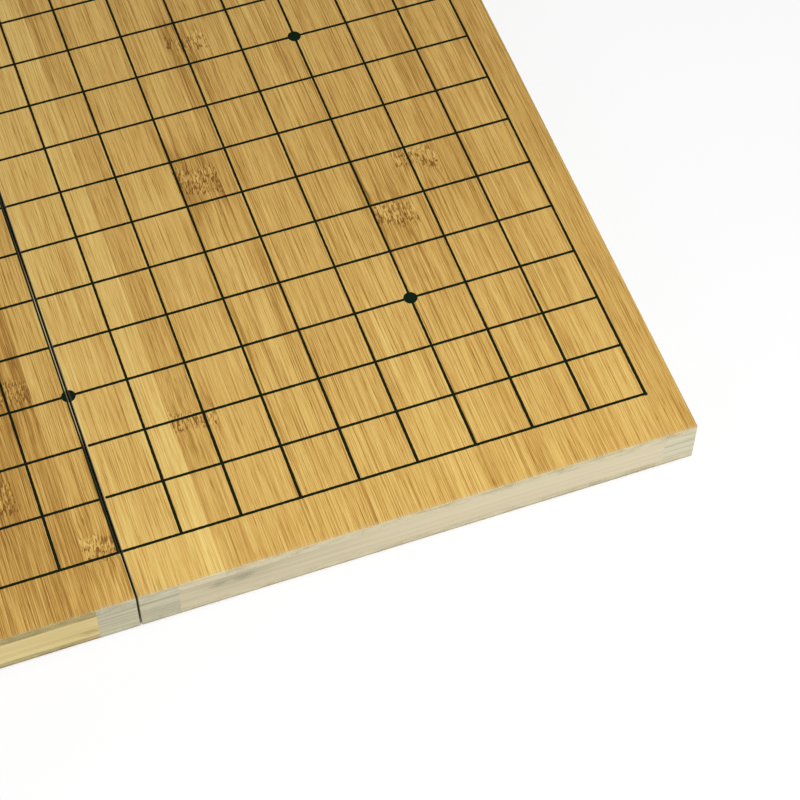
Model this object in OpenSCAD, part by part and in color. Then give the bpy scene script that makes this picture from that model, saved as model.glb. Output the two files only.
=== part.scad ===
// Folding go board: two bamboo halves that meet along the middle line of the grid.
// Each half is a frame of rails filled with cross slats, between a top and a bottom panel.
// The grid is cut into the top panels and filled with paint. Two brass butt hinges, let into
// the underside, let the halves fold underside to underside.
// The origin is on the table, under the middle of the board. +X is to the right, +Y to the back.

/* [Grid] */
// Lines each way, an odd number, so that the fold runs along the middle line
line_count = 19; // [9:2:19]
// Distance between lines from left to right
cell_w = 23; // [18:0.5:26]
// Distance between lines from front to back
cell_d = 24; // [18:0.5:28]
// Width of a line
line_w = 0.9; // [0.4:0.05:2]
// Width of the lines round the border of the grid
border_w = 1; // [0.4:0.05:2]
// Width of the middle line, which the left half carries beside the fold
fold_line_w = 0.5; // [0.3:0.05:1.5]
// Bare wood between the fold and the paint beside it
fold_line_inset = 0.5; // [0.3:0.05:1.5]
// Cells from the border of the grid to the outer star points
star_inset = 3; // [2:1:4]
// Diameter of a star point
star_d = 5.5; // [3:0.1:8]
// Depth of the cut lines and star points
groove_depth = 0.4; // [0.2:0.05:0.8]
// Depth of the paint's surface below the playing face
paint_drop = 0.08; // [0.02:0.02:0.15]
// Gap that the dried paint leaves at the walls of its groove
paint_gap = 0.02; // [0.01:0.01:0.05]

/* [Halves] */
// Bare margin outside the grid at the left and right
side_margin = 13; // [8:0.5:30]
// Bare margin outside the grid at the front and back
end_margin = 20.5; // [8:0.5:40]
// Gap between the halves at the fold
seam_gap = 0.8; // [0.4:0.1:2]
// Thickness of a top panel
top_t = 4; // [3:0.25:8]
// Height of the frame between the panels
frame_h = 13; // [8:0.5:30]
// Thickness of a bottom panel
bottom_t = 4; // [3:0.25:8]
// Width of an outer rail
outer_rail_w = 13; // [8:0.5:30]
// Width of a fold rail
fold_rail_w = 15; // [12:0.5:30]
// Width of a front or back rail
end_rail_w = 20; // [8:0.5:40]
// Width that the core slats are cut to, before they are planed to fill the frame
core_slat_w = 29; // [15:0.5:60]
// Width of a glue line between two core slats
glue_line = 0.1; // [0.05:0.05:0.3]

/* [Edges] */
// Radius of the edges round the playing face
top_ease = 0.4; // [0.2:0.1:1.5]
// Radius of the edges round the underside
bottom_ease = 1.2; // [0.2:0.1:2.5]
// Radius of the upright outer corners
corner_ease = 0.8; // [0.2:0.1:5]
// Radius of the upright corners at the fold
seam_ease = 0.3; // [0.2:0.1:1]

/* [Hinges] */
// Distance from the front or back edge to the middle of a hinge
hinge_inset = 95; // [40:1:150]
// Length of a hinge along the fold
hinge_len = 38; // [25:1:60]
// Width of a leaf from the pin to its free edge
leaf_w = 13; // [10:0.5:25]
// Thickness of a leaf
leaf_t = 0.8; // [0.6:0.1:1.2]
// Knuckles in one hinge, an odd number
knuckle_count = 5; // [3:2:7]
// Gap between two knuckles
knuckle_gap = 0.2; // [0.1:0.05:0.4]
// Wall of a knuckle
knuckle_wall = 0.75; // [0.5:0.05:1.5]
// Diameter of a hinge pin
pin_d = 1.2; // [1:0.1:2]
// Running clearance round the pin
pin_clear = 0.05; // [0.02:0.01:0.1]
// Diameter of the heads at the ends of a pin
pin_head_d = 2.2; // [1.8:0.1:3]
// Thickness of a pin head
pin_head_t = 0.5; // [0.3:0.1:1]
// Gap between the undersides when the board is folded
fold_gap = 0.4; // [0.2:0.1:1]
// Clearance round a leaf in its recess
recess_clear = 0.2; // [0.1:0.05:0.5]
// Clearance round the knuckles
barrel_clear = 0.3; // [0.2:0.05:0.6]

/* [Screws] */
// Screws in one leaf
leaf_screws = 2; // [2:1:4]
// Distance from the end of a leaf to its first screw
screw_inset = 7; // [4:0.5:10]
// Diameter of a screw's shank
shank_d = 2; // [1.6:0.1:3]
// Diameter of a screw's head
head_d = 4; // [3.2:0.1:5]
// Length of a screw with its head
screw_len = 9; // [7:0.5:12]
// Length of a screw's point
point_len = 2.5; // [1:0.5:4]
// Diameter of the blunt end of that point
point_d = 0.5; // [0.2:0.1:1]
// Width of the slot in a screw's head
slot_w = 0.6; // [0.4:0.1:0.8]
// Depth of the slot in a screw's head
slot_depth = 0.4; // [0.2:0.1:0.6]
// Clearance round a screw in its hole
screw_clear = 0.05; // [0.02:0.01:0.1]

/* [Hidden] */
$fn = 64;
// How far a cutting shape runs past the face that it cuts
past = 1;
RIGHT = 1;
LEFT = -1;

// Plan of the board
half_cells = (line_count - 1) / 2;
grid_x = half_cells * cell_w;
grid_y = half_cells * cell_d;
board_w = 2 * (grid_x + side_margin);
board_d = 2 * (grid_y + end_margin);
seam_x = seam_gap / 2;
half_w = board_w / 2 - seam_x;

// Heights, counted up from the table, on which the hinge knuckles stand
barrel_r = pin_d / 2 + pin_clear + knuckle_wall;
axis_z = barrel_r;
under_z = axis_z + fold_gap / 2;
frame_z = under_z + bottom_t;
panel_z = frame_z + frame_h;
face_z = panel_z + top_t;
board_t = face_z - under_z;

// The frame inside one half
fold_rail_end = seam_x + fold_rail_w;
outer_rail_start = board_w / 2 - outer_rail_w;
end_rail_start = board_d / 2 - end_rail_w;
core_d = 2 * end_rail_start;
slat_count = max(1, round(core_d / core_slat_w));
slat_pitch = core_d / slat_count;

// Hinges
hinge_y = board_d / 2 - hinge_inset;
knuckle_pitch = (hinge_len + knuckle_gap) / knuckle_count;
knuckle_len = knuckle_pitch - knuckle_gap;
pin_end = hinge_len / 2 + knuckle_gap + pin_head_t;
screw_x = (barrel_r + leaf_w) / 2;
screw_pitch = (hinge_len - 2 * screw_inset) / (leaf_screws - 1);
head_h = (head_d - shank_d) / 2;

function line_width(i) = abs(i) == half_cells ? border_w : line_w;
function knuckle_y(i) = i * knuckle_pitch - hinge_len / 2;
function screw_y(i) = screw_inset + i * screw_pitch - hinge_len / 2;

// Every shape below is drawn for the right half, and mirrored for the left
module on_side(side) {
    if (side == RIGHT) children();
    else mirror([1, 0, 0]) children();
}

// Upright section with round lower and upper corners
module eased_section(w, h, low_r, high_r) {
    translate([0, low_r]) square([w, h - low_r - high_r]);
    translate([low_r, 0]) square([w - 2 * low_r, low_r]);
    translate([high_r, h - high_r]) square([w - 2 * high_r, high_r]);
    for (x = [low_r, w - low_r]) translate([x, low_r]) circle(r = low_r);
    for (x = [high_r, w - high_r]) translate([x, h - high_r]) circle(r = high_r);
}

// The whole outside of one half, with all its edges eased
module half_body() {
    intersection() {
        translate([seam_x, board_d / 2, under_z]) rotate([90, 0, 0])
            linear_extrude(board_d) eased_section(half_w, board_t, bottom_ease, top_ease);
        translate([seam_x, -board_d / 2, under_z]) rotate([90, 0, 90])
            linear_extrude(half_w) eased_section(board_d, board_t, bottom_ease, top_ease);
        translate([board_w / 2, -board_d / 2, under_z]) rotate([0, 0, 90])
            linear_extrude(board_t) eased_section(board_d, half_w, corner_ease, seam_ease);
    }
}

// One piece of a half: the part of its body between two corners
module half_piece(low, high) {
    intersection() {
        half_body();
        translate(low) cube(high - low);
    }
}

// Lines and star points of one half, drawn in by a margin all round
module grid_plan(side, margin) {
    start_x = seam_x + fold_line_inset + margin;
    end_y = grid_y + border_w / 2 - margin;
    star_u = half_cells - round(star_inset);
    for (v = [-half_cells : half_cells]) {
        w = line_width(v) - 2 * margin;
        translate([start_x, v * cell_d - w / 2]) square([grid_x - start_x, w]);
    }
    for (u = [1 : half_cells]) {
        w = line_width(u) - 2 * margin;
        translate([u * cell_w - w / 2, -grid_y]) square([w, 2 * grid_y]);
    }
    for (y = [-grid_y, grid_y]) translate([grid_x, y]) circle(d = border_w - 2 * margin);
    if (side == LEFT) translate([start_x, -end_y]) square([fold_line_w - 2 * margin, 2 * end_y]);
    intersection() {
        for (u = [0, star_u], v = [-star_u, 0, star_u])
            translate([u * cell_w, v * cell_d]) circle(d = star_d - 2 * margin);
        translate([start_x, -board_d / 2]) square([half_w, board_d]);
    }
}

// A countersunk wood screw that points up, with its head in the plane of the underside
module screw_form(clear) {
    head_r = head_d / 2 + clear;
    shank_r = shank_d / 2 + clear;
    point_r = point_d / 2 + clear;
    cylinder(h = head_h, r1 = head_r, r2 = shank_r);
    cylinder(h = screw_len - point_len, r = shank_r);
    translate([0, 0, screw_len - point_len]) cylinder(h = point_len + clear, r1 = shank_r, r2 = point_r);
}

module at_screws(y) {
    for (i = [0 : leaf_screws - 1]) translate([screw_x, y + screw_y(i), under_z]) children();
}

module screw_holes() {
    for (y = [-hinge_y, hinge_y]) at_screws(y) screw_form(screw_clear);
}

// Room for the leaf and the knuckles of a hinge in the underside of one half
module hinge_recess(y) {
    recess_len = hinge_len + 2 * recess_clear;
    channel_len = 2 * (pin_end + barrel_clear);
    translate([0, y - recess_len / 2, under_z - past])
        cube([leaf_w + recess_clear, recess_len, leaf_t + past]);
    translate([0, y + channel_len / 2, axis_z]) rotate([90, 0, 0])
        cylinder(h = channel_len, r = barrel_r + barrel_clear);
}

module top_panel(side) {
    color("burlywood") on_side(side) difference() {
        half_piece([0, -board_d / 2, panel_z], [board_w / 2, board_d / 2, face_z]);
        translate([0, 0, face_z - groove_depth]) linear_extrude(groove_depth + past) grid_plan(side, 0);
    }
}

module grid_paint(side) {
    color("#141a17") on_side(side) translate([0, 0, face_z - groove_depth])
        linear_extrude(groove_depth - paint_drop) grid_plan(side, paint_gap);
}

module fold_rail(side) {
    color("#c4bd9c") on_side(side) difference() {
        half_piece([0, -board_d / 2, frame_z], [fold_rail_end, board_d / 2, panel_z]);
        screw_holes();
    }
}

module outer_rail(side) {
    color("#cfcaae") on_side(side)
        half_piece([outer_rail_start, -board_d / 2, frame_z], [board_w / 2, board_d / 2, panel_z]);
}

module front_rail(side) {
    color("#d8cba4") on_side(side)
        half_piece([fold_rail_end, -board_d / 2, frame_z], [outer_rail_start, -end_rail_start, panel_z]);
}

module back_rail(side) {
    color("#d8cba4") on_side(side)
        half_piece([fold_rail_end, end_rail_start, frame_z], [outer_rail_start, board_d / 2, panel_z]);
}

module core_slats(side) {
    color("#d2b277") on_side(side) for (i = [0 : slat_count - 1])
        translate([fold_rail_end, i * slat_pitch - core_d / 2 + glue_line / 2, frame_z])
            cube([outer_rail_start - fold_rail_end, slat_pitch - glue_line, frame_h]);
}

module bottom_panel(side) {
    color("#d2b277") on_side(side) difference() {
        half_piece([0, -board_d / 2, under_z], [board_w / 2, board_d / 2, frame_z]);
        for (y = [-hinge_y, hinge_y]) hinge_recess(y);
        screw_holes();
    }
}

module hinge_screws(side) {
    color("#b98f3f") on_side(side) for (y = [-hinge_y, hinge_y]) at_screws(y) difference() {
        screw_form(0);
        translate([-head_d, -slot_w / 2, -past]) cube([2 * head_d, slot_w, slot_depth + past]);
    }
}

// The right leaf has the first knuckle and every other one after it, the left leaf the rest
module leaf(side, y) {
    own = side == RIGHT ? 0 : 1;
    notch_w = barrel_r + barrel_clear;
    color("#c79d4b") on_side(side) difference() {
        union() {
            translate([0, y - hinge_len / 2, under_z]) cube([leaf_w, hinge_len, leaf_t]);
            for (i = [own : 2 : knuckle_count - 1]) translate([0, y + knuckle_y(i), axis_z])
                rotate([-90, 0, 0]) cylinder(h = knuckle_len, r = barrel_r);
        }
        for (i = [1 - own : 2 : knuckle_count - 1])
            translate([-past, y + knuckle_y(i) - knuckle_gap, under_z - past])
                cube([notch_w + past, knuckle_len + 2 * knuckle_gap, leaf_t + 2 * past]);
        translate([0, y - hinge_len / 2 - past, axis_z]) rotate([-90, 0, 0])
            cylinder(h = hinge_len + 2 * past, r = pin_d / 2 + pin_clear);
        at_screws(y) screw_form(screw_clear);
    }
}

module hinge_pin(y) {
    color("#a98238") translate([0, y, axis_z]) rotate([90, 0, 0]) {
        cylinder(h = 2 * pin_end, d = pin_d, center = true);
        for (z = [-pin_end, pin_end - pin_head_t])
            translate([0, 0, z]) cylinder(h = pin_head_t, d = pin_head_d);
    }
}

top_panel(RIGHT);  // right_top_panel
grid_paint(RIGHT);  // right_grid_paint
front_rail(RIGHT);  // right_front_rail
back_rail(RIGHT);  // right_back_rail
outer_rail(RIGHT);  // right_outer_rail
fold_rail(RIGHT);  // right_fold_rail
core_slats(RIGHT);  // right_core_slats
bottom_panel(RIGHT);  // right_bottom_panel
hinge_screws(RIGHT);  // right_hinge_screws
top_panel(LEFT);  // left_top_panel
grid_paint(LEFT);  // left_grid_paint
front_rail(LEFT);  // left_front_rail
back_rail(LEFT);  // left_back_rail
outer_rail(LEFT);  // left_outer_rail
fold_rail(LEFT);  // left_fold_rail
core_slats(LEFT);  // left_core_slats
bottom_panel(LEFT);  // left_bottom_panel
hinge_screws(LEFT);  // left_hinge_screws
leaf(RIGHT, -hinge_y);  // front_hinge_right_leaf
leaf(LEFT, -hinge_y);  // front_hinge_left_leaf
hinge_pin(-hinge_y);  // front_hinge_pin
leaf(RIGHT, hinge_y);  // back_hinge_right_leaf
leaf(LEFT, hinge_y);  // back_hinge_left_leaf
hinge_pin(hinge_y);  // back_hinge_pin
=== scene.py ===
import math

import bpy
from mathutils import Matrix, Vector

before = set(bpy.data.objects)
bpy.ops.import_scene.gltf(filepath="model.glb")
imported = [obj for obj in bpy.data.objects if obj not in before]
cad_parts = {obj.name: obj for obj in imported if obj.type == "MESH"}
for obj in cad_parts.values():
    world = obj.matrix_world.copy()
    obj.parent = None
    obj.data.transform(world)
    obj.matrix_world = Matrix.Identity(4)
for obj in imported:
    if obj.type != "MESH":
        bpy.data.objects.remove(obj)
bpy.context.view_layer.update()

# Core slats: bamboo slats planed to one thickness, laid across each frame and glued side by side.
# They are left bare, because the panels and rails close them in.
CORE_PALE = (222, 196, 143)
CORE_MID = (210, 178, 119)
CORE_DARK = (178, 138, 82)
CORE_ROUGH = 0.62
CORE_GRAIN_DEEP = 0.05
# Sizes of the pieces and their grain are in millimetres, and Blender's own are in metres
MM_PER_METRE = 1000
# Noise, ramps of shades and places across a strip all go from 0 to 1, and this is their middle
MIDDLE = 0.5


class Wire:
    """A value in a material's nodes. Arithmetic on it adds the Math nodes."""

    def __init__(self, tree, socket=None):
        self.tree = tree
        self.socket = socket

    def node(self, kind, settings, sockets, out=0):
        """A node of any kind: its settings are made first, then its sockets are set or linked."""
        made = self.tree.nodes.new(kind)
        for name, value in settings.items():
            if name == "stops":
                ramp = made.color_ramp
                while len(ramp.elements) < len(value):
                    ramp.elements.new(1.0)
                for stop, (place, colour) in zip(ramp.elements, value):
                    stop.position = place
                    stop.color = colour
            elif name == "stop_blend":
                made.color_ramp.interpolation = value
            else:
                setattr(made, name, value)
        for name, value in sockets.items():
            if isinstance(value, Wire):
                self.tree.links.new(value.socket, made.inputs[name])
            else:
                made.inputs[name].default_value = value
        return Wire(self.tree, made.outputs[out]) if made.outputs else None

    def maths(self, operation, *values):
        return self.node("ShaderNodeMath", {"operation": operation}, dict(enumerate(values)))

    def __add__(self, other):
        return self.maths("ADD", self, other)

    def __radd__(self, other):
        return self.maths("ADD", other, self)

    def __sub__(self, other):
        return self.maths("SUBTRACT", self, other)

    def __rsub__(self, other):
        return self.maths("SUBTRACT", other, self)

    def __mul__(self, other):
        return self.maths("MULTIPLY", self, other)

    def __rmul__(self, other):
        return self.maths("MULTIPLY", other, self)

    def __truediv__(self, other):
        return self.maths("DIVIDE", self, other)

    def __rtruediv__(self, other):
        return self.maths("DIVIDE", other, self)

    def __pow__(self, other):
        return self.maths("POWER", self, other)

    def __rpow__(self, other):
        return self.maths("POWER", other, self)

    def __abs__(self):
        return self.maths("ABSOLUTE", self)

    def floor(self):
        return self.maths("FLOOR", self)

    def least(self, other):
        return self.maths("MINIMUM", self, other)

    def most(self, other):
        return self.maths("MAXIMUM", self, other)

    def rise(self, low, high):
        """Goes softly from 0 at low to 1 at high, or the other way where low is the greater."""
        upward = self if high > low else 0 - self
        start, end = (low, high) if high > low else (-low, -high)
        return self.node(
            "ShaderNodeMapRange",
            {"interpolation_type": "SMOOTHSTEP"},
            {"Value": upward, "From Min": start, "From Max": end},
        )

    def within(self, reach, fade):
        """1 up to this reach, and down to 0 over the fade beyond it."""
        return self.rise(reach + fade, reach)

    def split(self):
        return [self.node("ShaderNodeSeparateXYZ", {}, {"Vector": self}, out) for out in "XYZ"]

    def shaded(self, stops, stop_blend="LINEAR"):
        """The colour that a ramp with these stops has at this value."""
        settings = {"stop_blend": stop_blend, "stops": stops}
        return self.node("ShaderNodeValToRGB", settings, {"Fac": self})

    def blend(self, first, second):
        """The first colour where this value is 0, the second where it is 1."""
        # A Mix node has sockets for every kind of value, so its factor and colours go by number
        return self.node("ShaderNodeMix", {"data_type": "RGBA"}, {0: self, 6: first, 7: second}, 2)


def ink(*screen):
    """A colour given as red, green and blue on screen, from 0 to 255, as the shaders take it."""
    # Undoes the standard screen curve, which is straight near black and a power above that
    shares = [value / 255 for value in screen]
    linear = [((s + 0.055) / 1.055) ** 2.4 if s > 0.04 else s / 12.92 for s in shares]
    return (*linear, 1.0)


def start_finish(name):
    """A new material, and a bare wire to draw its nodes from."""
    finish = bpy.data.materials.new(name)
    finish.use_nodes = True
    finish.node_tree.nodes.clear()
    return finish, Wire(finish.node_tree)


def end_finish(bare, colour, roughness, bump, deep, fixed):
    """The shader: what varies is linked, and the fixed values go on its own sockets."""
    relief = {"Height": bump, "Strength": 1.0, "Distance": deep / MM_PER_METRE}
    normal = bare.node("ShaderNodeBump", {}, relief)
    sockets = {"Base Color": colour, "Roughness": roughness, "Normal": normal, **fixed}
    shader = bare.node("ShaderNodeBsdfPrincipled", {}, sockets)
    bare.node("ShaderNodeOutputMaterial", {}, {"Surface": shader})


def place_in_mm(bare):
    """Where a point of a piece is, in millimetres in the piece's own frame."""
    spot = bare.node("ShaderNodeTexCoord", {}, {}, "Object")
    return [axis * MM_PER_METRE for axis in spot.split()]


def fibre(across, along, layer, width, length, detail=2.0, twist=0.0):
    """Noise drawn out along the grain, in streaks of about this width and length in millimetres."""
    place = {"X": across / width, "Y": along / length, "Z": layer}
    spot = across.node("ShaderNodeCombineXYZ", {}, place)
    sockets = {"Vector": spot, "Scale": 1.0, "Detail": detail, "Distortion": twist}
    return across.node("ShaderNodeTexNoise", {}, sockets)


def dress(finish, *nodes):
    """Puts a finish on pieces of the frame."""
    for node in nodes:
        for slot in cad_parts[node].material_slots:
            slot.material = finish


core_bamboo, bare = start_finish("core_bamboo")
x, y, z = place_in_mm(bare)
hair = fibre(y + z, x, 3.1, 1.2, 60.0) - MIDDLE
band = fibre(y, x, 8.4, 7.0, 120.0) - MIDDLE
tone = MIDDLE + hair * 1.2 + band
colour = tone.shaded([(0.1, ink(*CORE_DARK)), (0.5, ink(*CORE_MID)), (0.9, ink(*CORE_PALE))])
end_finish(bare, colour, CORE_ROUGH + tone * 0.1, tone, CORE_GRAIN_DEEP, {})
dress(core_bamboo, "right_core_slats", "left_core_slats")

# Rails: four planed bamboo strips that frame each half, glued at butt joints round the core.
# Front and back rails run from left to right, and the outer and fold rails show end grain there.
BOARD_DEEP = 473.0
HALF_MIDDLE = 110.0
RAIL_ROUGH = 0.5
RAIL_SHINE = 0.3
RAIL_GRAIN_DEEP = 0.04
RIGHT_RAIL = [(0.1, ink(148, 140, 114)), (0.5, ink(191, 179, 148)), (0.9, ink(204, 194, 165))]
LEFT_RAIL = [(0.1, ink(162, 140, 82)), (0.5, ink(200, 180, 121)), (0.9, ink(218, 201, 146))]
BLOCK_END = [(0.1, ink(134, 131, 108)), (0.5, ink(175, 169, 141)), (0.85, ink(194, 187, 160))]
# Small knots: how far they are to the right of the fold, how high, and how far they reach
RIGHT_KNOTS = [(30.3, 14.9, 3.5), (40.1, 15.4, 4.5)]
LEFT_KNOTS = [(-18.6, 8.4, 4.5)]
KNOT_FLATNESS = 0.45
# Layers in the end grain: their height by the fold and at the outer side, and how dark they are
RIGHT_LAYERS = [(17.0, 14.6, 0.3), (9.4, 10.7, 0.3)]
LEFT_LAYERS = [(17.2, 14.9, 0.05), (8.4, 10.0, 0.15)]


def on_ends(y):
    """1 on the front and back edges of the board."""
    return abs(y).rise(BOARD_DEEP / 2 - 1.0, BOARD_DEEP / 2 - 0.4)


def rail_finish(name, shades, lean, knots):
    """Long-grain bamboo from left to right, paler to the right by this lean, with small knots."""
    finish, bare = start_finish(name)
    x, y, z = place_in_mm(bare)
    hair = fibre(z + y, x, 1.7, 0.5, 70.0) - MIDDLE
    band = fibre(z + y, x, 5.2, 2.6, 180.0, 1.0) - MIDDLE
    cloud = fibre(z, x, 9.6, 30.0, 60.0, 1.0) - MIDDLE
    curl = fibre(z + x * 0.3, x, 2.5, 0.8, 2.4, 2.0, 1.0) - MIDDLE
    # The lean is painted light: the rail gets paler towards the right, where the lamp stands
    tone = MIDDLE + (x - HALF_MIDDLE) * lean + hair * 0.55 + band * 0.55 + cloud * 0.4
    for along, height, reach in knots:
        aside = (x - along) / reach
        above = (z - height) / (reach * KNOT_FLATNESS)
        apart = (aside ** 2 + above ** 2) ** 0.5
        knot = (apart + curl * 0.9).rise(1.2, 0.3) * (curl * 0.8 - 0.2)
        tone = tone + knot - apart.rise(4.0, 0.5) * 0.08
    fixed = {"Specular IOR Level": RAIL_SHINE}
    end_finish(bare, tone.shaded(shades), RAIL_ROUGH + hair * 0.3, hair, RAIL_GRAIN_DEEP, fixed)
    return finish


def block_finish(name, shades, seed, layers, dim):
    """Bamboo from front to back. Its ends show end grain in layers, this much dimmer than usual."""
    finish, bare = start_finish(name)
    x, y, z = place_in_mm(bare)
    layer = fibre(z, x, seed + 4.4, 1.6, 60.0, 2.0) - MIDDLE
    pore = fibre(x, z, seed + 7.7, 0.5, 0.4, 1.0) - MIDDLE
    # Painted light and shade: the end grain gets paler away from the fold and darker by it
    end_tone = 0.53 - dim + layer * 1.1 + pore * 0.3 + abs(x) * 0.0010
    by_fold = abs(x).within(HALF_MIDDLE - 10.0, 10.0)
    for fold_height, outer_height, dark in layers:
        height = outer_height + by_fold * (fold_height - outer_height)
        end_tone = end_tone - abs(z - height + layer * 0.6).within(0.2, 0.8) * dark
    hair = fibre(z + x, y, seed + 1.3, 0.5, 70.0) - MIDDLE
    band = fibre(z + x, y, seed + 6.1, 2.6, 180.0, 1.0) - MIDDLE
    long_tone = MIDDLE + hair * 0.5 + band * 0.6
    colour = on_ends(y).blend(long_tone.shaded(shades), end_tone.shaded(BLOCK_END))
    fixed = {"Specular IOR Level": RAIL_SHINE}
    end_finish(bare, colour, RAIL_ROUGH + hair * 0.3, hair, RAIL_GRAIN_DEEP, fixed)
    return finish


# Only the right rails lean, with painted light from the right
for half, shades, lean, knots, seed, layers, dim in [
    ("right", RIGHT_RAIL, 0.0011, RIGHT_KNOTS, 20.0, RIGHT_LAYERS, 0.0),
    ("left", LEFT_RAIL, 0.0, LEFT_KNOTS, 60.0, LEFT_LAYERS, 0.08),
]:
    rail_bamboo = rail_finish(half + "_rail_bamboo", shades, lean, knots)
    dress(rail_bamboo, half + "_front_rail", half + "_back_rail")
    block_bamboo = block_finish(half + "_block_bamboo", shades, seed, layers, dim)
    dress(block_bamboo, half + "_fold_rail", half + "_outer_rail")

# Top and bottom panels: bamboo strips that run from front to back, glued edge to edge, sanded and
# lacquered, and glued over the frame. Each strip keeps its own shade, and shows one knuckle, where
# the stalk had a joint. The lines of the grid are cut into the top panels.
STRIP = 17.35
RIGHT_FIRST_JOINT = -1.35
LEFT_LAST_JOINT = -13.4
FACE = 22.6
UNDERSIDE = 1.6
FOLD_RAIL = 15.4
CELL_WIDE = 23.0
CELL_DEEP = 24.0
GRID_WIDE = 9 * CELL_WIDE
GRID_DEEP = 9 * CELL_DEEP
STAR_COLUMN = 6 * CELL_WIDE
STAR_ROW = 6 * CELL_DEEP
# Half the width of a line with the paint that has crept out of it, and how softly the paint ends
ROW_HALF = 0.53
COLUMN_HALF = 0.45
LINE_FADE = 0.12
LINE_END = 0.4
STAR_RADIUS = 2.7
# Where the rows start to reach the fold, in front of and behind those that stop short of it, and
# where the paint starts to be rubbed off the sharp edge there. The second value of each is the
# place where the change is full
ROWS_REACH_IN_FRONT = (-210.0, -212.0)
ROWS_REACH_BEHIND = (-158.0, -150.0)
RUBBED_FROM_FRONT = (-170.0, -158.0)
RUBBED_FROM_BEHIND = (-62.0, -108.0)
PANEL_ROUGH = 0.44
PANEL_SHINE = 0.25
PANEL_GRAIN_DEEP = 0.05
WOOD = [
    (0.0, ink(120, 79, 22)),
    (0.25, ink(166, 123, 52)),
    (0.5, ink(205, 165, 88)),
    (0.75, ink(223, 193, 114)),
    (1.0, ink(238, 216, 136)),
]
RIGHT_EDGE = [(0.1, ink(146, 136, 102)), (0.5, ink(189, 179, 147)), (0.85, ink(205, 196, 166))]
LEFT_EDGE = [(0.0, ink(92, 77, 40)), (0.5, ink(164, 147, 95)), (0.85, ink(192, 177, 126))]
PAINT_THIN = ink(20, 28, 11)
# A painted highlight on the bare rounded edge by the fold, where the paint has rubbed off
ARRIS_PAINTED_HIGHLIGHT = ink(176, 168, 126)
# For each strip from left to right: its shade, how far behind the middle of the board its knuckle
# is, how far its shade leans to a paler right side, how tall its knuckle is, how far the strip
# gets paler from the front to the middle of the board, which is partly its own tone and partly
# painted light that is brighter at the front, and how smoky it is round the knuckle
RIGHT_STRIPS = [
    (0.58, 30, -0.06, 0.8, 0.0, 0.0),
    (0.60, 150, 0.1, 0.7, -0.04, 0.0),
    (0.475, -170, 0.06, 0.7, -0.02, 0.5),
    (0.515, 92, -0.05, 0.9, 0.0, 0.0),
    (0.515, -60, 0.08, 1.0, -0.06, 1.0),
    (0.495, 12, 0.08, 0.6, -0.065, 0.0),
    (0.49, 187, -0.03, 0.8, -0.025, 0.3),
    (0.53, 64, -0.02, 0.9, -0.08, 0.0),
    (0.50, -103, 0.0, 0.9, -0.03, 0.0),
    (0.495, -78, 0.07, 0.8, 0.0, 0.1),
    (0.455, 128, 0.0, 0.7, -0.08, 0.0),
    (0.51, 40, 0.0, 0.8, -0.035, 0.2),
    (0.45, 205, 0.0, 0.6, -0.025, 0.0),
]
LEFT_STRIPS = [
    (0.46, 110, 0.0, 0.8, -0.02, 0.0),
    (0.41, -40, -0.1, 0.6, 0.03, 0.0),
    (0.47, 60, 0.1, 0.9, -0.04, 0.4),
    (0.43, -150, 0.0, 0.7, 0.0, 0.0),
    (0.46, 20, -0.1, 0.8, 0.02, 0.2),
    (0.39, 170, 0.0, 0.9, -0.05, 0.0),
    (0.45, -95, 0.1, 0.6, 0.0, 0.5),
    (0.42, 75, 0.0, 0.8, -0.03, 0.0),
    (0.47, -20, 0.0, 0.7, 0.04, 0.0),
    (0.41, 140, -0.1, 0.9, -0.02, 0.3),
    (0.34, -179, 0.0, 1.0, -0.08, 1.0),
    (0.33, -136, 0.02, 0.8, -0.04, 0.0),
    (0.475, -212, -0.1, 0.7, 0.02, 0.2),
]


def strips_of(x, strips, first_joint):
    """The strip at a point: its number, the place across it from 0 to 1, and its six facts."""
    place = (x - first_joint) / STRIP
    number = place.floor()
    count = len(strips)
    # A stop of a ramp holds three facts, each from 0 to 1, so the six take two ramps
    first_stops = []
    second_stops = []
    for i, (shade, knuckle, lean, tall, fade_and_light_falloff, smoky) in enumerate(strips):
        behind = MIDDLE + knuckle / BOARD_DEEP
        first_stops.append((i / count, (shade, behind, MIDDLE + lean, 1.0)))
        second_stops.append((i / count, (tall, MIDDLE + fade_and_light_falloff, smoky, 1.0)))
    here = (number + 0.5) / count
    shade, behind, lean = here.shaded(first_stops, "CONSTANT").split()
    tall, fade_and_light_falloff, smoky = here.shaded(second_stops, "CONSTANT").split()
    knuckle = (behind - MIDDLE) * BOARD_DEEP
    return number, place - number, (shade, knuckle, lean - MIDDLE, tall, fade_and_light_falloff - MIDDLE, smoky)


def from_line(place, cell):
    """How far a point is from the nearest of the lines that lie a cell apart."""
    cells = place / cell + 0.5
    return abs(cells - cells.floor() - 0.5) * cell


def from_star(x, y):
    """How far a point is from the nearest of the nine star points."""
    aside = abs(x).least(abs(abs(x) - STAR_COLUMN))
    ahead = abs(y).least(abs(abs(y) - STAR_ROW))
    return (aside * aside + ahead * ahead) ** 0.5


def fold_arris(x, y):
    """1 where the paint has rubbed off the left half's sharp edge at the fold. A top panel paints a
    highlight there.
    """
    on_edge = x.rise(-0.85, -0.7) * x.rise(-0.1, -0.2)
    return on_edge * y.rise(*RUBBED_FROM_FRONT) * y.rise(*RUBBED_FROM_BEHIND)


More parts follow.
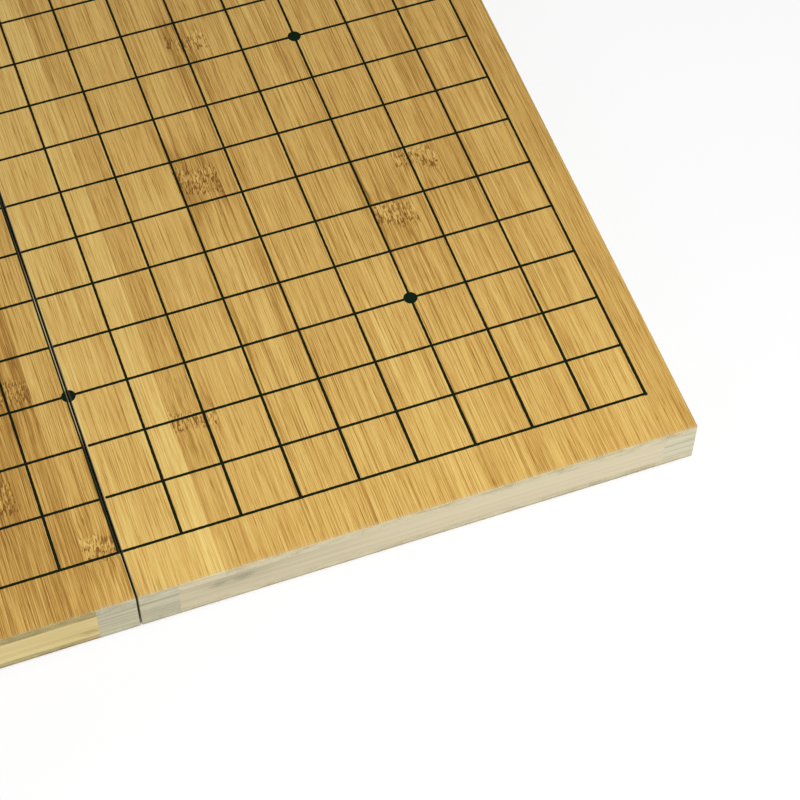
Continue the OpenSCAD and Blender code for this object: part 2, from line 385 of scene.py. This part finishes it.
def bled_paint(x, y):
    """1 on the cut lines and where their paint has crept a little into the grain beside them."""
    rubbed = fold_arris(x, y)
    creep = (fibre(x, y, 3.3, 1.3, 1.8, 2.0) - MIDDLE) * 0.3
    pooled = y.rise(-120.0, -GRID_DEEP) * 0.12
    to_fold = y.rise(*ROWS_REACH_IN_FRONT).most(y.rise(*ROWS_REACH_BEHIND))
    in_rows = abs(x).rise(1.0, 1.2).most(to_fold) * abs(x).within(GRID_WIDE + LINE_END, 0.2)
    in_columns = abs(y).within(GRID_DEEP + LINE_END, 0.2)
    on_row = (from_line(y, CELL_DEEP) - creep).within(ROW_HALF, LINE_FADE)
    on_row = on_row * in_rows * (1 - rubbed * 0.8)
    on_column = (from_line(x, CELL_WIDE) - creep - pooled).within(COLUMN_HALF, LINE_FADE)
    # The middle column is not like the others: it is painted on the left half only, by the fold
    on_column = on_column * abs(x).rise(5.0, 6.0)
    beside_fold = x.rise(-1.5, -1.4) * x.rise(0.0, -0.1) * (1 - rubbed)
    star = from_star(x, y).within(STAR_RADIUS, 0.15) * (1 - rubbed * 0.3)
    corner = ((abs(x) - GRID_WIDE) ** 2 + (abs(y) - GRID_DEEP) ** 2).within(0.6, 0.5)
    return on_row.most((on_column + beside_fold) * in_columns).most(star).most(corner)


def panel_finish(name, strips, first_joint, edge_shades, seed, on_top):
    """Bamboo strips on the face, end grain and sides round it, and on a top panel bled paint."""
    finish, bare = start_finish(name)
    x, y, z = place_in_mm(bare)
    number, across, facts = strips_of(x, strips, first_joint)
    shade, knuckle, lean, tall, fade_and_light_falloff, smoky = facts
    layer = number * 7.31 + seed
    lively = bare.node("ShaderNodeTexWhiteNoise", {"noise_dimensions": "1D"}, {"W": layer})

    # The knuckle: ragged, dark in front, with flecks in its core and a halo of bent grain round it
    from_knuckle = y - knuckle + (across - MIDDLE) * 3
    wander = fibre(x, y, layer + 3.7, 8.0, 14.0, 2.0) - MIDDLE
    off_knuckle = from_knuckle + wander * 12
    ragged = abs(off_knuckle)
    in_front = (off_knuckle / tall).rise(3.0, -5.0)
    core = (ragged / tall).within(5.0, 3.0)
    halo = ragged.within(4.0, 30.0)
    haze = halo * smoky
    fleck = fibre(x - from_knuckle * 0.12, from_knuckle, layer + 2.8, 0.66, 2.7, 1.0, 0.7)
    light_fleck = fleck.rise(0.50, 0.60) * core * (1 - in_front * 0.6)
    dark_fleck = fleck.rise(0.47, 0.38) * core * (0.4 + in_front * 0.6)

    # The grain, from broad clouds to single fibres, and the glue joint between two strips
    bent = x + wander * (0.2 + halo * 2.2)
    cloud = fibre(bent, y, layer, 5.0, 50.0, 1.0).rise(0.36, 0.70)
    grain = fibre(bent, y, layer + 1.9, 1.2, 50.0, 2.0) - MIDDLE
    fine = fibre(bent, y, layer + 4.3, 0.36, 24.0, 1.0) - MIDDLE
    vein = fibre(bent, y, layer + 6.1, 0.38, 70.0, 0.0).rise(0.46, 0.74)
    bold = fibre(bent, y, layer + 9.9, 0.9, 90.0, 1.0).rise(0.58, 0.74)
    dash = fibre(bent, y, layer + 5.6, 0.34, 7.0, 1.0).rise(0.56, 0.74)
    flame = (fibre(bent, y, layer + 12.7, 1.3, 12.0, 2.0, 0.8) - MIDDLE) * halo
    smoke = fibre(bent, y, layer + 15.2, 2.4, 18.0, 2.0).rise(0.42, 0.62) * halo * (1 - core)
    joint = abs(across - MIDDLE).rise(0.488, 0.498)

    # How far each of these makes the wood paler or darker
    # The change from front to middle is partly the strip's own tone and partly painted light,
    # brighter at the front
    shade = shade + fade_and_light_falloff * (y.rise(-BOARD_DEEP / 2, -45.0) - MIDDLE)
    tone = shade + 0.053 + lean * (across - MIDDLE) - cloud * 0.06 + grain * 0.04 + fine * 0.76
    tone = tone - vein * (0.14 + lively * 0.08) - bold * 0.03 - dash * 0.15 - smoke * 0.12
    tone = tone + flame * 0.36 + light_fleck * 0.22 - dark_fleck * 0.62
    tone = tone - core * 0.08 - haze * 0.11 - joint * 0.04

    # The edge: end grain with pores and patches at front and back, long streaks at the sides
    pore = fibre(x, z, seed + 0.4, 0.5, 0.5, 1.0) - MIDDLE
    patch = fibre(x, z, seed + 8.8, 7.0, 2.5, 1.0) - MIDDLE
    streak = fibre(z, y, seed + 5.5, 0.6, 90.0) - MIDDLE
    at_end = on_ends(y)
    # Painted shade: the bottom of the edge, where the rounded arris faces down to the floor, is
    # darker
    painted_underside_shade = (z - UNDERSIDE).within(0.6, 1.6) * 0.5
    # The right half's end grain is darker just under the face
    darker_under_face = (z - FACE).rise(-2.6, -0.6) * at_end * x.rise(-1.0, 1.0) * 0.12
    edge_tone = MIDDLE + (shade - MIDDLE) * 0.8 + at_end * (pore * 0.5 + patch * 0.6)
    edge_tone = edge_tone + (1 - at_end) * streak * 0.7 - (painted_underside_shade + darker_under_face)
    by_fold = abs(x).within(FOLD_RAIL - 0.1, 0.2)
    edge = by_fold.blend(edge_tone.shaded(edge_shades), edge_tone.shaded(BLOCK_END))

    # The face has the strips, and its front and back rims are worn. Below it comes the edge
    below_face = FACE - z if on_top else z - UNDERSIDE
    worn = (BOARD_DEEP / 2 - abs(y) + fine * 3).within(0.1, 1.4) * 0.45
    colour = below_face.rise(0.02, 0.15).most(worn).blend(tone.shaded(WOOD), edge)
    roughness = PANEL_ROUGH + fine * 0.2 + core * 0.06
    if on_top:
        near_face = z.rise(FACE - 0.7, FACE - 0.5)
        paint = bled_paint(x, y) * near_face
        # The bare edge at the fold gets a painted highlight
        colour = (fold_arris(x, y) * near_face).blend(colour, ARRIS_PAINTED_HIGHLIGHT)
        colour = paint.blend(colour, PAINT_THIN)
        roughness = roughness + paint * 0.15
    fixed = {"Specular IOR Level": PANEL_SHINE}
    end_finish(bare, colour, roughness, tone, PANEL_GRAIN_DEEP, fixed)
    return finish


left_first_joint = LEFT_LAST_JOINT - (len(LEFT_STRIPS) - 1) * STRIP
# The bottom panels have the other half's strips, with their joints in other places
for panel, strips, first_joint, edge_shades, seed, on_top in [
    ("right_top", RIGHT_STRIPS, RIGHT_FIRST_JOINT, RIGHT_EDGE, 11.0, True),
    ("left_top", LEFT_STRIPS, left_first_joint, LEFT_EDGE, 47.0, True),
    ("right_bottom", LEFT_STRIPS, -4.0, RIGHT_EDGE, 71.0, False),
    ("left_bottom", RIGHT_STRIPS, left_first_joint + 6.0, LEFT_EDGE, 93.0, False),
]:
    panel_bamboo = panel_finish(panel + "_bamboo", strips, first_joint, edge_shades, seed, on_top)
    dress(panel_bamboo, panel + "_panel")

# Grid paint: thick near-black paint, drawn into the cut lines and star points, and wiped level.
# It dries a little below the face, with only a slight gloss.
PAINT_THICK = ink(13, 30, 19)
PAINT_ROUGH = 0.42
PAINT_SHINE = 0.02
PAINT_SKIN_DEEP = 0.03
line_paint, bare = start_finish("line_paint")
x, y = place_in_mm(bare)[:2]
skin = fibre(x, y, 2.0, 1.5, 1.5, 3.0)
on_star = (from_star(x, y) + (skin - MIDDLE) * 2).within(2.0, 1.0)
colour = on_star.blend(PAINT_THIN, PAINT_THICK)
fixed = {"Specular IOR Level": PAINT_SHINE}
end_finish(bare, colour, PAINT_ROUGH + skin * 0.2, skin, PAINT_SKIN_DEEP, fixed)
dress(line_paint, "right_grid_paint", "left_grid_paint")

# Hinges: two butt hinges of rolled sheet brass, let in flush with the underside.
# The leaves are brushed along their length, and each turns on a drawn pin with headed ends.
BRASS_BRIGHT = ink(222, 184, 104)
BRASS_WORN = ink(176, 132, 62)
BRUSHED_DEEP = 0.01


def brass_finish(name, seed, roughness):
    """Brushed brass, dulled here and there by tarnish."""
    finish, bare = start_finish(name)
    x, y = place_in_mm(bare)[:2]
    brushed = fibre(x, y, seed, 0.15, 14.0, 2.0) - MIDDLE
    tarnish = fibre(x, y, seed + 3.3, 9.0, 14.0, 3.0)
    worn = tarnish.rise(0.40, 0.72) * 0.6 + brushed * 0.5
    colour = worn.blend(BRASS_BRIGHT, BRASS_WORN)
    roughness = roughness + brushed * 0.2 + (tarnish - MIDDLE) * 0.2
    end_finish(bare, colour, roughness, brushed, BRUSHED_DEEP, {"Metallic": 1.0})
    return finish


hinge_brass = brass_finish("hinge_brass", seed=1.0, roughness=0.32)
dress(hinge_brass, "front_hinge_right_leaf", "front_hinge_left_leaf")
dress(hinge_brass, "back_hinge_right_leaf", "back_hinge_left_leaf")
pin_brass = brass_finish("pin_brass", seed=4.0, roughness=0.25)
dress(pin_brass, "front_hinge_pin", "back_hinge_pin")

# Hinge screws: turned brass wood screws with slotted, countersunk heads, two through each leaf.
# They are driven up into the bottom panel and the fold rail, until their heads are flush.
screw_brass = brass_finish("screw_brass", seed=8.0, roughness=0.22)
dress(screw_brass, "right_hinge_screws", "left_hinge_screws")

# Studio: a pale floor, a white world, a soft lamp over the front and a low one far behind.
# To the camera the floor is mostly clear, so that it is near white, and it takes the shadow where
# something lies close over it. The camera stands where the photo was taken.
FLOOR_REACH = 60.0
FLOOR_PALE = (0.92, 0.92, 0.92, 1.0)
FLOOR_CLEAR = 0.78
# How many millimetres from the board's middle the floor starts to get clearer, and is all clear
FLOOR_NEAR = 600.0
FLOOR_FAR = 1800.0
# How many metres over the floor a thing still takes the clearness away
COVER_REACH = 0.02
WHITE = (1.0, 1.0, 1.0, 1.0)
WORLD_LIGHT = 0.34
CAMERA_SPOT = Vector((-0.055178, -0.653819, 0.77856))
CAMERA_AIM = Vector((0.118026, -0.187618, 0.0226))
CAMERA_ROLL = math.radians(0.753)
CAMERA_LENS = 107.323
CAMERA_SENSOR = 36.0

sides = [(-1, -1), (1, -1), (1, 1), (-1, 1)]
corners = [(across * FLOOR_REACH, along * FLOOR_REACH, 0.0) for across, along in sides]
floor_mesh = bpy.data.meshes.new("floor")
floor_mesh.from_pydata(corners, [], [(0, 1, 2, 3)])
floor = bpy.data.objects.new("floor", floor_mesh)
bpy.context.collection.objects.link(floor)


def seen(bare):
    """1 for what the camera sees, straight, mirrored or through glass, and 0 for falling light."""
    straight, mirrored, through = [
        bare.node("ShaderNodeLightPath", {}, {}, f"Is {kind} Ray")
        for kind in ("Camera", "Glossy", "Transmission")
    ]
    return straight.most(mirrored).most(through)


floor_finish, bare = start_finish("floor")
reach = {"Distance": COVER_REACH}
open_above = bare.node("ShaderNodeAmbientOcclusion", {"samples": 16}, reach, "AO")
uncovered = open_above.rise(0.15, 0.45)
x, y = place_in_mm(bare)[:2]
far_off = ((x * x + y * y) ** 0.5).rise(FLOOR_NEAR, FLOOR_FAR)
matt = bare.node("ShaderNodeBsdfDiffuse", {}, {"Color": FLOOR_PALE})
clear = bare.node("ShaderNodeBsdfTransparent", {}, {})
clearness = seen(bare) * uncovered * (FLOOR_CLEAR + far_off * (1 - FLOOR_CLEAR))
surface = bare.node("ShaderNodeMixShader", {}, {0: clearness, 1: matt, 2: clear})
bare.node("ShaderNodeOutputMaterial", {}, {"Surface": surface})
floor_mesh.materials.append(floor_finish)

world = bpy.data.worlds.new("studio")
world.use_nodes = True
world.node_tree.nodes.clear()
bare = Wire(world.node_tree)
soft = bare.node("ShaderNodeBackground", {}, {"Color": WHITE, "Strength": WORLD_LIGHT})
white = bare.node("ShaderNodeBackground", {}, {"Color": WHITE, "Strength": 1.0})
glow = bare.node("ShaderNodeMixShader", {}, {0: seen(bare), 1: soft, 2: white})
bare.node("ShaderNodeOutputWorld", {}, {"Surface": glow})
bpy.context.scene.world = world


def hang_lamp(name, spot, aim, size, watts):
    """A round soft lamp, turned to its aim."""
    lamp = bpy.data.lights.new(name, "AREA")
    lamp.shape = "DISK"
    lamp.size = size
    lamp.energy = watts
    holder = bpy.data.objects.new(name, lamp)
    holder.location = spot
    holder.rotation_euler = (Vector(aim) - Vector(spot)).to_track_quat("-Z", "Y").to_euler()
    bpy.context.collection.objects.link(holder)


hang_lamp("front_lamp", spot=(0.20, -0.65, 0.63), aim=(0.1, -0.18, 0.0), size=0.4, watts=5.55)
hang_lamp("back_lamp", spot=(-1.65, 2.55, 0.90), aim=(0.0, 0.1, 0.01), size=1.5, watts=20.0)

lens = bpy.data.cameras.new("camera")
lens.sensor_width = CAMERA_SENSOR
lens.lens = CAMERA_LENS
lens.clip_start = 0.01
camera = bpy.data.objects.new("camera", lens)
camera.location = CAMERA_SPOT
camera.rotation_euler = (CAMERA_AIM - CAMERA_SPOT).to_track_quat("-Z", "Y").to_euler()
camera.rotation_euler.rotate_axis("Z", CAMERA_ROLL)
bpy.context.collection.objects.link(camera)
bpy.context.scene.camera = camera
bpy.context.scene.view_settings.view_transform = "Standard"
